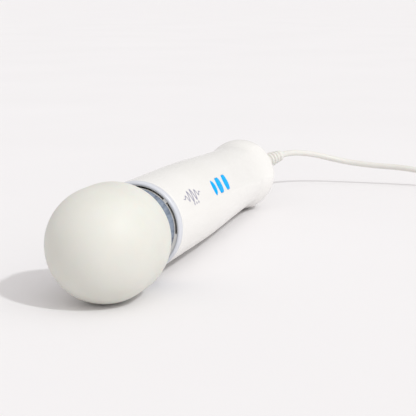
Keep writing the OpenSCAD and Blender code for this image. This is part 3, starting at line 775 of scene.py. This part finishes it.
def rod(name, foot, radius, low, high, sides=40):
    """Round tool across the wand, from one height to another; low may be a function of (x, y)"""
    turns = [TURN * k / sides for k in range(sides)]
    ring = [(foot[0] + radius * math.cos(a), foot[1] + radius * math.sin(a)) for a in turns]
    under = [(x, y, low(x, y) if callable(low) else low) for x, y in ring]
    return loft(name, [under, [(x, y, high) for x, y in ring]], caps=True)


def under_skin(x, y):
    """Half way through the back shell's wall"""
    return -math.sqrt((handle_r(x) - SHELL_WALL / 2) ** 2 - y * y)


def make_handle():
    """Both shells, with the buttons' openings and the wells of the four screws"""
    front = make_shell("shell_front", -math.pi / 2)
    for at in BUTTONS.values():
        outline = button_outline(at, BUTTON_GAP)
        tool = loft("tool", [[(x, y, z) for x, y in outline] for z in (15, 40)], caps=True)
        carve(front, tool)
    dress(front, "shell_plastic", "handle", "handle_shell_front")
    back = make_shell("shell_back", math.pi / 2)
    for foot in SHELL_SCREWS:
        carve(back, rod("tool", foot, BOSS_R, under_skin, -0.1), "UNION")
        carve(back, rod("tool", foot, WELL_R, -40, WELL_TOP_Z))
        carve(back, rod("tool", foot, SCREW_HOLE_R, WELL_TOP_Z - 1, 1))
    dress(back, "shell_plastic", "handle", "handle_shell_back")


# ---- Printed mark --------------------------------------------------------------------------------


def make_print(name, path, width):
    """Thin ink on the grip: a strip along a path of (x, distance round), as wide as width says"""
    rings = []
    for i, (x, arc) in enumerate(path):
        a, b = path[max(i - 1, 0)], path[min(i + 1, len(path) - 1)]
        length = math.dist(a, b)
        side = (-(b[1] - a[1]) / length, (b[0] - a[0]) / length)
        half = width(i / (len(path) - 1)) / 2
        ring = []
        for way, height in ((-1, -0.03), (-1, 0.04), (1, 0.04), (1, -0.03)):
            angle = (arc + way * half * side[1]) / GRIP_R
            ring.append(around(x + way * half * side[0], GRIP_R + height, angle))
        rings.append(ring)
    dress(loft(name, rings, caps=True), "ink", "handle")


def make_mark():
    """A made-up sign for vibration: a wave that swells and dies away, over three dots"""
    start, length = 68, 32
    centre = -2.1
    wave = []
    for k in range(241):
        u = k / 240
        height = 3.9 * math.sin(math.pi * u) ** 1.3 * math.sin(TURN * 5 * u)
        wave.append((start + length * u, centre + height))
    make_print("mark_wave", wave, lambda u: 1.2 * (0.4 + 0.6 * math.sin(math.pi * u)))
    for k in range(3):
        x = 82 + 4 * k
        dot = [(x - 0.8 * math.cos(math.pi * t / 16), 3.2) for t in range(17)]
        make_print(f"mark_dot_{k + 1}", dot, lambda u: 0.1 + 1.5 * math.sin(math.pi * u))


make_collar()
make_vents()
make_slot_shade_ring()
make_handle()
for button_name, button_at in BUTTONS.items():
    make_button(button_name, button_at)
make_mark()

# ---- CAD nodes that stay, with their finishes ----------------------------------------------------

# The neck socket is drawn in dark plastic instead of its own finish: painted shade behind the vent
# slots, so that they read black
SLOT_SHADE_NODES = ["neck_socket"]

for part in frame["record"]["subparts"]:
    node = frame["nodes"][part["node"]]
    finish = "dark_plastic" if part["node"] in SLOT_SHADE_NODES else part["material_slot"]
    node.data.materials.clear()
    node.data.materials.append(MATERIALS[finish])

# ---- Floor and light -----------------------------------------------------------------------------


def make_floor():
    """Plain pale floor, wide enough to reach the horizon in every view"""
    sides, radii = 96, [0, 1, 4, 16, 60]
    points = [(r * math.cos(TURN * k / sides), r * math.sin(TURN * k / sides), 0)
              for r in radii for k in range(sides)]
    faces = [(i * sides + k, i * sides + (k + 1) % sides, (i + 1) * sides + (k + 1) % sides,
              (i + 1) * sides + k) for i in range(len(radii) - 1) for k in range(sides)]
    floor = solid("floor", points, faces, Matrix.Identity(4))
    floor.data.materials.append(surface(
        "paper", [(236, 234, 235), (238, 236, 237)], (0.7, 0.8), 3, [(400, 0.01), (1500, 0.01)]))


def make_sun(name, strength, colour, softness, heading, rise):
    """Light that travels along a heading on the floor, (x, y), and falls at an angle in degrees"""
    data = bpy.data.lights.new(name, "SUN")
    data.energy = strength
    data.color = colour
    data.angle = math.radians(softness)
    sun = bpy.data.objects.new(name, data)
    level = math.cos(math.radians(rise))
    travel = Vector((heading[0] * level, heading[1] * level, -math.sin(math.radians(rise))))
    sun.rotation_euler = travel.to_track_quat("-Z", "Y").to_euler()
    bpy.context.scene.collection.objects.link(sun)


def make_light():
    """Hard-edged key from the front right, broad fill from the same side, and a pale room"""
    make_sun("key", 1.28, (0.97, 1, 1), 3, (0.42, 0.90), 43)
    make_sun("fill", 0.5, (1, 0.98, 0.97), 70, (0.25, 0.97), 52)
    world = bpy.data.worlds.new("room")
    world.use_nodes = True
    background = world.node_tree.nodes["Background"]
    background.inputs["Color"].default_value = (1, 0.98, 0.975, 1)
    background.inputs["Strength"].default_value = 0.7
    bpy.context.scene.world = world
    bpy.context.scene.view_settings.view_transform = "Standard"


make_floor()
make_light()
